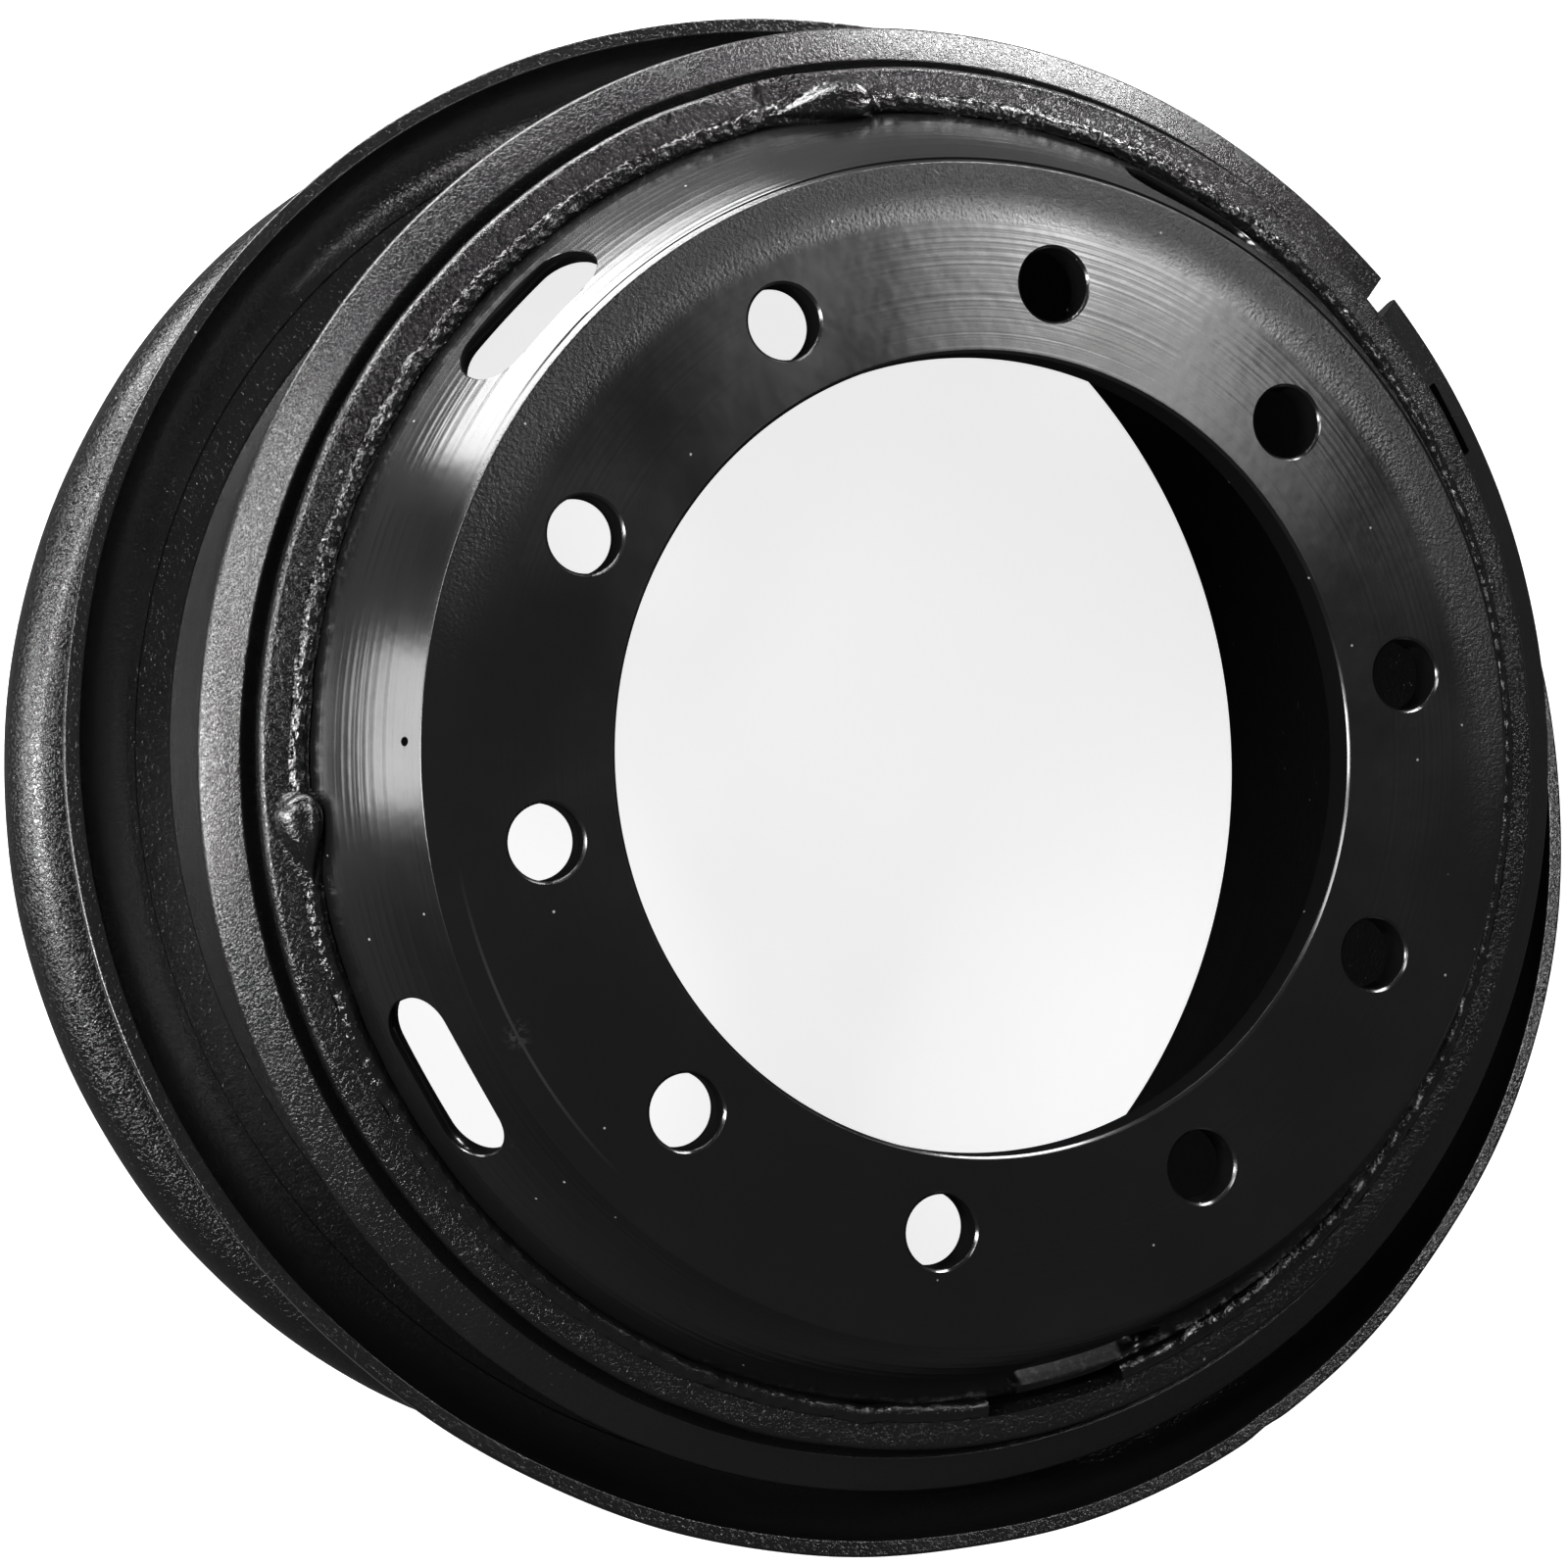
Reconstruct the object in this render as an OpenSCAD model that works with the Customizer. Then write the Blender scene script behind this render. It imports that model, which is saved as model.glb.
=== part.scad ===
// Truck wheel for a tube tyre: a welded disc and rim base, with a loose side ring and a split lock ring.
// The wheel lies flat: its axis is Z, the outer face looks up, the mounting face is at Z = 0.

/* [Rim base] */
// Diameter of the tapered bead seat at the foot of the flange
seat_d = 514.4; // [505:0.1:525]
// Width between the tyre faces of the fixed flange and the seated side ring
rim_width = 216; // [200:1:240]
// Height of the flanges above the bead seat
flange_h = 45.3; // [38:0.1:50]
// Wall of the flat base
base_wall = 7; // [6:0.5:8.5]
// Width of the tapered bead seat, which runs down to the flat base
seat_w = 36; // [30:1:40]
// Radius of the fixed flange's rolled lip, on its tyre side
flange_curl_r = 20; // [18:0.5:24]
// Thickness of the flange at its lip
lip_wall = 6.2; // [5:0.1:7]
// Thickness of the fixed flange at its foot
flange_wall = 8.5; // [7:0.5:10]

/* [Gutter] */
// How far the lip at the open end of the rim base stands below the flat base
gutter_lip_drop = 2.5; // [1.5:0.5:4]
// Depth of the gutter below that lip
gutter_depth = 5.5; // [4:0.5:7]
// Width of the lip's top
gutter_lip_w = 5; // [4:0.5:7]
// Width of the gutter floor
gutter_floor_w = 15; // [14:0.5:18]
// Rounding of the lip's outer edge
gutter_lip_round = 2.5; // [1.5:0.5:3]
// Wall under the gutter, where the disc is pressed in
gutter_wall = 8; // [7:0.5:10]

/* [Disc] */
// Thickness of the disc at its flat face
disc_wall = 14; // [12:0.5:16]
// Diameter of the flat face, at its sharp outer edge
face_d = 415; // [410:1:420]
// Distance from the outer face of the disc to the end of the rim base
face_proud = 46; // [40:1:52]
// How far the side wall bulges outwards in the middle
wall_bulge = 1.2; // [0:0.1:2]
// Thickness of the conical wall
wall_t = 6.5; // [5:0.5:9]
// Thickness of the skirt that is pressed into the rim base
skirt_t = 7; // [6:0.5:9]
// Length of the cylindrical skirt
skirt_len = 28; // [20:1:34]
// Radius inside, between the mounting face and the wall
inner_fillet_r = 10; // [6:1:14]

/* [Hub and holes] */
// Diameter of the centre bore
bore_d = 281; // [280:0.1:290]
// Number of wheel bolts
bolt_count = 10; // [8:1:10]
// Diameter of the bolt circle
bolt_pcd = 335; // [333:0.5:338]
// Diameter of the bolt holes
bolt_hole_d = 26; // [24:0.5:28]
// Chamfer at both ends of the bolt holes
bolt_chamfer = 1; // [0.5:0.1:1.5]
// Angle of the first bolt hole
bolt_turn = 110.2; // [0:0.1:360]
// Number of hand holes in the side wall
hand_hole_count = 5; // [5:5:10]
// Length of a hand hole round the wheel
hand_hole_l = 60; // [50:1:64]
// Height of a hand hole along the wall
hand_hole_h = 27; // [24:0.5:29]
// Corner radius of a hand hole
hand_hole_r = 12.5; // [9:0.5:13]
// Distance along the wall from the face's edge to the middle of a hand hole
hand_hole_s = 28.5; // [27:0.5:31]
// Angle from the middle between two bolt holes to the middle of a hand hole
hand_hole_turn = 1.2; // [0:0.1:3]

/* [Weld] */
// Width of the groove that the weld fills, between the side wall and the rim base
groove_w = 4; // [3:0.5:6]
// Depth of that groove
groove_depth = 10; // [7:0.5:12]
// Width of the weld's leg on the end of the rim base
weld_leg = 3; // [2:0.5:4]
// Rise of the bead above the straight line between its toes
weld_crown = 2; // [1:0.1:3]
// Length of the gap that the weld leaves for the valve
valve_gap_l = 54; // [40:1:60]
// Depth of the valve passage in the skirt of the disc
valve_gap_d = 4; // [3:0.5:5]
// Width of the valve slot in the rim base
valve_slot_w = 16; // [12:1:20]
// Length of the valve slot along the axis
valve_slot_l = 50; // [30:1:60]
// Radius of the lumps where the weld starts and stops
weld_lump_r = 6; // [4:0.5:7]
// Angle of the lump where the weld was started
weld_start_at = 93; // [0:1:360]
// Angle of the lump where it was stopped
weld_stop_at = 177; // [0:1:360]

/* [Lock ring] */
// Height of the lock ring's crest above the bead seat
crest_h = 11.8; // [9:0.2:14]
// Thickness of the crest
crest_w = 5; // [4:0.2:7]
// Slope of the crest's outer face, from the plane of the wheel
bevel_slope = 28; // [20:1:35]
// Height of the bevel on the outer face
bevel_h = 11.2; // [8:0.2:13]
// Length of the ring's tapered foot on the flat base
foot_len = 28; // [20:1:30]
// Opening of the split
split_gap = 10; // [5:0.5:16]
// Angle of the split
split_at = 35; // [0:1:360]
// Angle of the slot for the tyre lever
pry_at = 23; // [0:1:360]
// Length of the slot for the tyre lever
pry_len = 31; // [24:1:40]
// Depth of the slot for the tyre lever, inwards along the axis
pry_depth = 7; // [5:0.5:9]
// Height of that slot
pry_h = 4.5; // [3:0.5:6]

/* [Side ring] */
// How much larger the radius of the side ring's bore is than the bead seat's
side_bore_play = 4.3; // [3:0.1:6]
// Radius of the side ring's rolled flange, on its tyre side
side_curl_r = 27; // [22:0.5:29]
// Thickness of the side ring at its foot
toe_wall = 5; // [4:0.5:6]
// Width of the flat strip at its foot
toe_strip_w = 12.5; // [11:0.5:14]
// Height of the ring's middle on the barrel, below the mounting face
side_ring_drop = 108.7; // [100:0.1:116]
// Direction in which the loose ring leans
lean_dir = 98.5; // [0:0.5:360]

/* [Hidden] */
$fn = 180;
steel = [0.10, 0.10, 0.105];
clearance = 0.3;
arc_steps = 14;

// Radii and heights that several pieces share
seat_r = seat_d / 2;
seat_slope = 5;
base_r = seat_r - seat_w * tan(seat_slope);
flange_r = seat_r + flange_h;
disc_face_z = disc_wall;
rim_end_z = disc_face_z - face_proud;
lip_r = base_r - gutter_lip_drop;
gutter_r = lip_r - gutter_depth;
fit_r = gutter_r - gutter_wall;
wall_foot_r = fit_r - groove_w;
wall_foot_z = rim_end_z;
lip_back_z = rim_end_z - gutter_lip_w - gutter_lip_round;
gutter_z = lip_back_z - gutter_depth;
gutter_end_z = gutter_z - gutter_floor_w;
base_z = gutter_end_z - (base_r - gutter_r);
base_bore_r = base_r - base_wall;

// Lock ring: its crest and back face set where the side ring and the fixed flange stand
crest_r = seat_r + crest_h;
crest_set = 2.5;
crest_z = gutter_z - crest_set;
crest_round = 2;
ring_back_z = crest_z - crest_w;
ring_back_slope_w = 8;
foot_top_z = ring_back_z - ring_back_slope_w;
foot_z = foot_top_z - foot_len;
side_seat_z = ring_back_z - toe_wall;
flange_z = side_seat_z - rim_width;

// Disc: side wall, its weld groove and skirt
wall_angle = atan2(wall_foot_r - face_d / 2, disc_face_z - wall_foot_z);
groove_z = rim_end_z - groove_depth;
skirt_z = groove_z - skirt_len;
between_bolts = bolt_turn + 180 / bolt_count;
hand_turn = between_bolts + hand_hole_turn;
valve_at = between_bolts + 2 * 360 / hand_hole_count;

// Points on an arc round (r, z), from one angle to another
function arc(r, z, rad, a0, a1, n = arc_steps) =
    [for (i = [0 : n]) [r + rad * cos(a0 + (a1 - a0) * i / n), z + rad * sin(a0 + (a1 - a0) * i / n)]];

// Points on a line from a to b that is bowed to its left by the given height
function bowed(a, b, height, n = 12) =
    let (along = b - a, left = [-along[1], along[0]] / norm(along))
    [for (i = [0 : n]) let (s = i / n) a + along * s + left * height * 4 * s * (1 - s)];

// A solid of revolution round the wheel's axis
module ring(points, angle = 360) {
    rotate_extrude(angle = angle, convexity = 8) polygon(points);
}

// Rim base: one rolled section with the fixed flange, the bead seat, the flat base and the gutter
module rim_base() {
    curl_z = flange_z - flange_curl_r;
    curl_mid = flange_r - flange_curl_r;
    inner_curl = flange_curl_r - lip_wall;
    heel_r = 7;
    heel_bore = seat_r - flange_wall;
    heel_bore_r = 14;
    back_z = flange_z - flange_wall;
    fit_end_z = base_z - 4;
    fit_taper = 20;
    color(steel)
    difference() {
        ring(concat(
            [[fit_r, rim_end_z - weld_leg * 1.3], [fit_r + weld_leg, rim_end_z]],
            arc(lip_r - gutter_lip_round, rim_end_z - gutter_lip_round, gutter_lip_round, 90, 0, 6),
            [[lip_r, lip_back_z], [gutter_r, gutter_z], [gutter_r, gutter_end_z], [base_r, base_z]],
            [[base_r, flange_z + seat_w]],
            arc(seat_r + heel_r, flange_z + heel_r, heel_r, 180, 270, 6),
            arc(curl_mid, curl_z, flange_curl_r, 90, -10),
            arc(curl_mid, curl_z, inner_curl, -10, 90),
            arc(heel_bore + heel_bore_r, back_z + heel_bore_r, heel_bore_r, 270, 180, 8),
            [[base_bore_r, flange_z + seat_w], [base_bore_r, fit_end_z - fit_taper], [fit_r, fit_end_z]]
        ));
        valve_slot();
    }
}

// The oblong valve slot through the flat base
module valve_slot() {
    top_z = foot_z - 4;
    reach = 2 * (base_r - fit_r);
    rotate([0, 0, valve_at])
    for (end = [0, 1])
        translate([fit_r, 0, top_z - valve_slot_w / 2 - end * (valve_slot_l - valve_slot_w)])
        rotate([0, 90, 0])
        cylinder(d = valve_slot_w, h = reach, $fn = 48);
    rotate([0, 0, valve_at])
    translate([fit_r, -valve_slot_w / 2, top_z - valve_slot_l + valve_slot_w / 2])
    cube([reach, valve_slot_w, valve_slot_l - valve_slot_w]);
}

// Wheel disc: flat face with a bore and bolt holes, a conical side wall and a cylindrical skirt
module wheel_disc() {
    edge = 0.8;
    bore_edge = 1;
    face_r = face_d / 2;
    bore_r = bore_d / 2;
    skirt_r = fit_r - skirt_t;
    top_r = face_r + edge * sin(wall_angle);
    top_z = disc_face_z - edge;
    // The inside of the wall runs level with its outside, from the fillet at the face to the skirt
    top_in_r = face_r - wall_t / cos(wall_angle) + disc_wall * tan(wall_angle);
    fillet_r = top_in_r - inner_fillet_r * tan((90 - wall_angle) / 2);
    in_top = arc(fillet_r, -inner_fillet_r, inner_fillet_r, wall_angle, 90, 8);
    in_foot = [skirt_r, (top_in_r - skirt_r) / tan(wall_angle)];
    in_wall = bowed(in_foot, in_top[0], -wall_bulge);
    color(steel)
    difference() {
        ring(concat(
            [[bore_r, bore_edge], [bore_r, disc_face_z - bore_edge], [bore_r + bore_edge, disc_face_z]],
            [[face_r - edge, disc_face_z]],
            bowed([top_r, top_z], [wall_foot_r, wall_foot_z], wall_bulge),
            [[fit_r, groove_z], [fit_r, skirt_z + 1.5]],
            [[fit_r - 1.5, skirt_z], [skirt_r + 1.5, skirt_z], [skirt_r, skirt_z + 1.5]],
            [for (i = [0 : len(in_wall) - 2]) in_wall[i]],
            in_top,
            [[bore_r + bore_edge, 0]]
        ));
        for (i = [0 : bolt_count - 1])
            rotate([0, 0, bolt_turn + i * 360 / bolt_count])
            translate([bolt_pcd / 2, 0, 0])
            bolt_hole();
        for (i = [0 : hand_hole_count - 1])
            rotate([0, 0, hand_turn + i * 360 / hand_hole_count])
            hand_hole();
        valve_passage();
    }
}

// A bolt hole with a chamfer at each end
module bolt_hole() {
    r = bolt_hole_d / 2;
    translate([0, 0, -1])
    cylinder(r = r, h = disc_wall + 2, $fn = 72);
    translate([0, 0, disc_wall - bolt_chamfer])
    cylinder(r1 = r, r2 = r + 2 * bolt_chamfer, h = 2 * bolt_chamfer, $fn = 72);
    translate([0, 0, -bolt_chamfer])
    cylinder(r1 = r + 2 * bolt_chamfer, r2 = r, h = 2 * bolt_chamfer, $fn = 72);
}

// A punch for one hand hole, square to the side wall
module hand_hole() {
    l = hand_hole_l;
    h = hand_hole_h;
    r = hand_hole_r;
    depth = 40;
    translate([face_d / 2 + hand_hole_s * sin(wall_angle), 0, disc_face_z - hand_hole_s * cos(wall_angle)])
    rotate([0, 90 - wall_angle, 0])
    translate([0, 0, -depth / 2]) {
        for (u = [-1, 1])
            for (v = [-1, 1])
                translate([u * (h / 2 - r), v * (l / 2 - r), 0])
                cylinder(r = r, h = depth, $fn = 48);
        translate([-h / 2, -(l / 2 - r), 0])
        cube([h, l - 2 * r, depth]);
        translate([-(h / 2 - r), -l / 2, 0])
        cube([h - 2 * r, l, depth]);
    }
}

// The flat on the skirt that leaves room for the valve under the rim base
module valve_passage() {
    rotate([0, 0, valve_at])
    translate([fit_r - valve_gap_d, -valve_gap_l / 2, skirt_z - 1])
    cube([2 * valve_gap_d, valve_gap_l, wall_foot_z - skirt_z + valve_gap_d]);
}

// Weld between the disc and the end of the rim base, left open at the valve
module disc_weld() {
    end_r = fit_r + weld_leg;
    chord = end_r - wall_foot_r;
    rad = (chord * chord / 4 + weld_crown * weld_crown) / (2 * weld_crown);
    half = asin(chord / 2 / rad);
    mid_z = rim_end_z - rad + weld_crown;
    gap = 2 * asin(valve_gap_l / 2 / wall_foot_r);
    color(steel) {
        rotate([0, 0, valve_at + gap / 2])
        ring(concat(
            arc((wall_foot_r + end_r) / 2, mid_z, rad, 90 + half, 90 - half, 8),
            [[end_r, rim_end_z], [fit_r, rim_end_z - weld_leg * 1.3], [fit_r, groove_z], [wall_foot_r, wall_foot_z]]
        ), 360 - gap);
        for (at = [weld_start_at, weld_stop_at])
            weld_lump(at, end_r);
    }
}

// A lump where the weld was started or stopped, which hangs over the bead's toes
module weld_lump(at, end_r) {
    window = 10;
    rise = weld_lump_r * 1.2;
    skin = 0.1;
    sunk = 0.6;
    rotate([0, 0, at])
    intersection() {
        translate([(wall_foot_r + end_r) / 2, 0, rim_end_z - 1])
        sphere(r = weld_lump_r, $fn = 48);
        rotate([0, 0, -window / 2])
        ring([
            [wall_foot_r + sunk, rim_end_z - sunk / 2],
            [wall_foot_r + skin, rim_end_z + skin],
            [wall_foot_r + skin - rise * tan(wall_angle), rim_end_z + skin + rise],
            [end_r + rise, rim_end_z + skin + rise],
            [end_r + rise, rim_end_z + skin],
            [end_r - skin, rim_end_z + skin],
            [end_r - sunk, rim_end_z - sunk / 2]
        ], window);
    }
}

// Radius of the lock ring's tapered foot at a height, which carries the second bead of the tyre
function foot_surface_r(z) = seat_r - (foot_top_z - z) * tan(seat_slope);

// Split lock ring: a bevelled crest, a heel in the gutter and a tapered foot on the flat base
module lock_ring() {
    gap_angle = split_gap / crest_r * 180 / PI;
    bevel_z = crest_z + bevel_h * tan(bevel_slope);
    nose_r = crest_r - bevel_h - crest_round;
    heel_r = gutter_r + clearance;
    heel_top_z = gutter_z - 4.5;
    heel_bevel = 2;
    foot_r = base_r + clearance;
    slope_z = gutter_end_z + 0.5;
    back_land = 7;
    color(steel)
    difference() {
        rotate([0, 0, split_at + gap_angle / 2])
        ring(concat(
            arc(crest_r - crest_round, ring_back_z + crest_round, crest_round, -90, 0, 5),
            arc(crest_r - crest_round, crest_z - crest_round, crest_round, 0, 90 - bevel_slope, 5),
            [[nose_r, bevel_z - 1], [nose_r - 1, bevel_z - 1.6]],
            [[heel_r + heel_bevel, heel_top_z + heel_bevel], [heel_r, heel_top_z], [heel_r, slope_z]],
            [[foot_r, slope_z - (base_r - gutter_r)], [foot_r, foot_z]],
            [[foot_surface_r(foot_z), foot_z], [foot_surface_r(foot_top_z), foot_top_z]],
            [[crest_r - back_land, ring_back_z]]
        ), 360 - gap_angle);
        pry_slot(nose_r, bevel_z);
    }
}

// The slot in the lock ring's front edge where the tyre lever goes in
module pry_slot(edge_r, edge_z) {
    rotate([0, 0, pry_at])
    translate([edge_r - 6, -pry_len / 2, edge_z - pry_depth])
    cube([6 + pry_h, pry_len, pry_depth + 10]);
}

// Lean at which a ring with this bore and width jams on something as wide as across
function jam_lean(bore_r, w, across) =
    acos(across / sqrt(4 * bore_r * bore_r + w * w)) - atan(w / (2 * bore_r));

// Side ring: a rolled flange with a flat strip at its foot, loose on the barrel and leaning
module side_ring() {
    bore_r = seat_r + side_bore_play;
    strip_r = bore_r + toe_strip_w;
    strip_z = -side_curl_r + toe_wall;
    curl_mid = flange_r - side_curl_r;
    inner_curl = side_curl_r - lip_wall;
    toe_step = 1.2;
    // The ring leans until its bore meets the flat base on one side and the lock ring's foot on the other
    base_seat_r = base_r + clearance;
    level_lean = jam_lean(bore_r, toe_wall, 2 * base_seat_r);
    touch_z = -side_ring_drop + bore_r * sin(level_lean) + strip_z * cos(level_lean);
    foot_seat_r = (touch_z < foot_z ? base_r : foot_surface_r(touch_z)) + clearance;
    lean = jam_lean(bore_r, toe_wall, base_seat_r + foot_seat_r);
    shift = base_seat_r - bore_r * cos(lean) + side_curl_r * sin(lean);
    color(steel)
    rotate([0, 0, lean_dir])
    translate([shift, 0, -side_ring_drop])
    rotate([0, lean, 0])
    ring(concat(
        [[bore_r, strip_z], [bore_r, -side_curl_r + 1], [bore_r + 1, -side_curl_r]],
        arc(curl_mid, 0, side_curl_r, -90, 4, 16),
        arc(curl_mid, 0, inner_curl, 4, -86, 16),
        [[strip_r + toe_step / 2, strip_z + toe_step], [strip_r, strip_z]]
    ));
}

rim_base();
wheel_disc();
disc_weld();
lock_ring();
side_ring();
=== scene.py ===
# Truck wheel for a tube tyre, lying on its fixed flange with the outer face up.
# Lengths are in metres once they are in Blender; profiles are written in millimetres as (radius, height).
import math

import bpy
import numpy as np
from mathutils import Matrix, Vector


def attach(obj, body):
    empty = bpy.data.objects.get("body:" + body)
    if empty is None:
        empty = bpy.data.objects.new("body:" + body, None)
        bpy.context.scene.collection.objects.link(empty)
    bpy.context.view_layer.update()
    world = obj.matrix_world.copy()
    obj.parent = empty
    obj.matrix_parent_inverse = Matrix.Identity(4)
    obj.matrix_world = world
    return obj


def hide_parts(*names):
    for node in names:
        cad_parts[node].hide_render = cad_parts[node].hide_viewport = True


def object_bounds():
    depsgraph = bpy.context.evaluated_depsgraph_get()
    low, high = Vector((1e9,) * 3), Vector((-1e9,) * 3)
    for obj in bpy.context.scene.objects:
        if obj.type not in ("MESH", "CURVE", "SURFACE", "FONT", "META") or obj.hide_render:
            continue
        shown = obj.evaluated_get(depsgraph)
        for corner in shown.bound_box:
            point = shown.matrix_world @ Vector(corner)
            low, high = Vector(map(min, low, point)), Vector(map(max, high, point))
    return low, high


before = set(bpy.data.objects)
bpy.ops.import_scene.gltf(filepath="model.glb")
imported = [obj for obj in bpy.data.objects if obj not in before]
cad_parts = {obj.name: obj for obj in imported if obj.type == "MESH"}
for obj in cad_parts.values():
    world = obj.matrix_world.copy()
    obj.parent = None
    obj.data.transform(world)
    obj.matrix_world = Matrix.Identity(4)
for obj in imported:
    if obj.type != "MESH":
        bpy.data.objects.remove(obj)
cad_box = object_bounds()


# Rim base
# One rolled and butt-welded strip of hot-rolled steel: fixed flange, bead seat, flat base and gutter.
# The mill's grain and the gun's orange peel both show through its black enamel.
MM = 0.001
SEAT_R = 257.2
BASE_R = 254.05
FLANGE_R = 302.5
RIM_END_Z = -32.0
LIP_R = 251.55
GUTTER_R = 246.05
GUTTER_Z = -45.0
FIT_R = 238.05
BORE_WALL_R = 247.05
SEAT_Z = -237.5
FLANGE_Z = -273.5
VALVE_AT = 272.2


def arc(r, z, radius, start, end, steps):
    """Points of a rolled or machined curve in the section."""
    turns = [math.radians(start + (end - start) * i / steps) for i in range(steps + 1)]
    return [(r + radius * math.cos(t), z + radius * math.sin(t), 0.0) for t in turns]


def ease_edges(corners, steps=4, land=0.35):
    """Rounds each corner of a section that has a radius, and keeps the flats beside it flat."""
    out = []
    count = len(corners)
    for i in range(count):
        r, z, ease = corners[i]
        here = Vector((r, z))
        if ease == 0:
            out.append((r, z))
            continue
        back = Vector(corners[i - 1][:2]) - here
        ahead = Vector(corners[(i + 1) % count][:2]) - here
        half = back.angle(ahead) / 2
        reach = min(ease / math.tan(half), 0.42 * back.length, 0.42 * ahead.length)
        radius = reach * math.tan(half)
        back.normalize()
        ahead.normalize()
        centre = here + (back + ahead).normalized() * (radius / math.sin(half))
        first = here + back * reach - centre
        last = here + ahead * reach - centre
        sweep = first.angle_signed(last)
        out.append(tuple(here + back * (reach + land)))
        for k in range(steps + 1):
            turned = first.copy()
            turned.rotate(Matrix.Rotation(-sweep * k / steps, 2))
            out.append(tuple(centre + turned))
        out.append(tuple(here + ahead * (reach + land)))
    return out


def roll_ring(name, section, steps, start=0.0, sweep=360.0, shape=None):
    """Turns a section round the wheel's axis; shape(azimuth, r, z) bends it and gives new r and z.
    A section that runs clockwise, seen with its radius to the right, gives faces that look outwards."""
    whole = sweep >= 360.0
    rows = steps if whole else steps + 1
    azimuth = start + sweep * np.arange(rows) / steps
    line = np.array(section, float)
    count = len(line)
    a = np.repeat(azimuth[:, None], count, axis=1)
    r = np.repeat(line[None, :, 0], rows, axis=0)
    z = np.repeat(line[None, :, 1], rows, axis=0)
    if shape is not None:
        a, r, z = shape(a, r, z)
    t = np.radians(a)
    points = np.stack([r * np.cos(t), r * np.sin(t), z], axis=2).reshape(-1, 3) * MM
    faces = []
    for j in range(steps):
        k = (j + 1) % rows
        for i in range(count):
            n = (i + 1) % count
            faces.append((j * count + i, j * count + n, k * count + n, k * count + i))
    if not whole:
        faces.append(tuple(reversed(range(count))))
        faces.append(tuple((rows - 1) * count + i for i in range(count)))
    mesh = bpy.data.meshes.new(name)
    mesh.from_pydata(points.tolist(), [], faces)
    mesh.update()
    piece = bpy.data.objects.new(name, mesh)
    bpy.context.scene.collection.objects.link(piece)
    return piece


def smooth_by_angle(piece, degrees=32.0):
    """Shades the curves smooth and leaves the cut edges sharp."""
    mesh = piece.data
    mesh.polygons.foreach_set("use_smooth", [True] * len(mesh.polygons))
    mesh.set_sharp_from_angle(angle=math.radians(degrees))


def cut_away(piece, cutters):
    """Punches or drills the cutters' shapes out of a piece and removes the cutters."""
    for cutter in cutters:
        change = piece.modifiers.new("cut", "BOOLEAN")
        change.operation = "DIFFERENCE"
        change.object = cutter
        change.solver = "EXACT"
    graph = bpy.context.evaluated_depsgraph_get()
    cut = bpy.data.meshes.new_from_object(piece.evaluated_get(graph))
    piece.modifiers.clear()
    piece.data = cut
    for cutter in cutters:
        bpy.data.objects.remove(cutter)


def punch(name, outline, levels, sag=0.0):
    """A cutter from one outline, offset outwards by each level's amount: levels are (height, offset).
    With a sag it is bent along its length, so that it follows a round wall."""
    count = len(outline)
    line = np.array(outline, float)
    ahead = np.roll(line, -1, axis=0) - np.roll(line, 1, axis=0)
    out = np.stack([ahead[:, 1], -ahead[:, 0]], axis=1)
    out /= np.linalg.norm(out, axis=1)[:, None]
    points = []
    for height, offset in levels:
        moved = line + out * offset
        points += [(x, y, height - sag * y * y) for x, y in moved]
    faces = []
    for j in range(len(levels) - 1):
        for i in range(count):
            n = (i + 1) % count
            faces.append((j * count + i, j * count + n, (j + 1) * count + n, (j + 1) * count + i))
    faces.append(tuple(reversed(range(count))))
    faces.append(tuple((len(levels) - 1) * count + i for i in range(count)))
    mesh = bpy.data.meshes.new(name)
    mesh.from_pydata([tuple(v * MM for v in p) for p in points], [], faces)
    mesh.update()
    cutter = bpy.data.objects.new(name, mesh)
    bpy.context.scene.collection.objects.link(cutter)
    return cutter


def oblong(length, height, corner, steps=12):
    """A rounded slot's outline, anticlockwise; length lies along Y and height along X."""
    line = []
    for turn, sx, sy in ((0, 1, 1), (90, -1, 1), (180, -1, -1), (270, 1, -1)):
        for k in range(steps + 1):
            t = math.radians(turn + 90 * k / steps)
            x = sx * (height / 2 - corner) + corner * math.cos(t)
            y = sy * (length / 2 - corner) + corner * math.sin(t)
            if not line or math.hypot(x - line[-1][0], y - line[-1][1]) > 0.02:
                line.append((x, y))
    return line


def waves(azimuth, seed, low=3, high=24, fall=1.0):
    """A smooth closed unevenness round the wheel, between about -1 and 1."""
    dice = np.random.default_rng(seed)
    t = np.radians(azimuth)
    total = np.zeros_like(t)
    power = 0.0
    for n in range(low, high + 1):
        size = n ** -fall
        total += size * np.sin(n * t + dice.uniform(0, 2 * math.pi))
        power += size * size / 2
    return total / (2.2 * math.sqrt(power))


def rim_unevenness(a, r, z):
    """The gutter's lip waves a little, and the flange is out of true by a hair."""
    lip = np.clip((r - 246.5) / 4.5, 0, 1) * (z > GUTTER_Z + 3)
    r = r - lip * 0.35 * (1 + waves(a, 3, 5, 40, 0.6))
    z = z - lip * 0.3 * (1 + waves(a, 4, 8, 60, 0.4))
    flange = np.clip((r - 296.0) / 6.5, 0, 1) * (z < FLANGE_Z)
    r = r - flange * 0.35 * (1 + waves(a, 5, 4, 30, 0.8))
    return a, r, z


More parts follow.
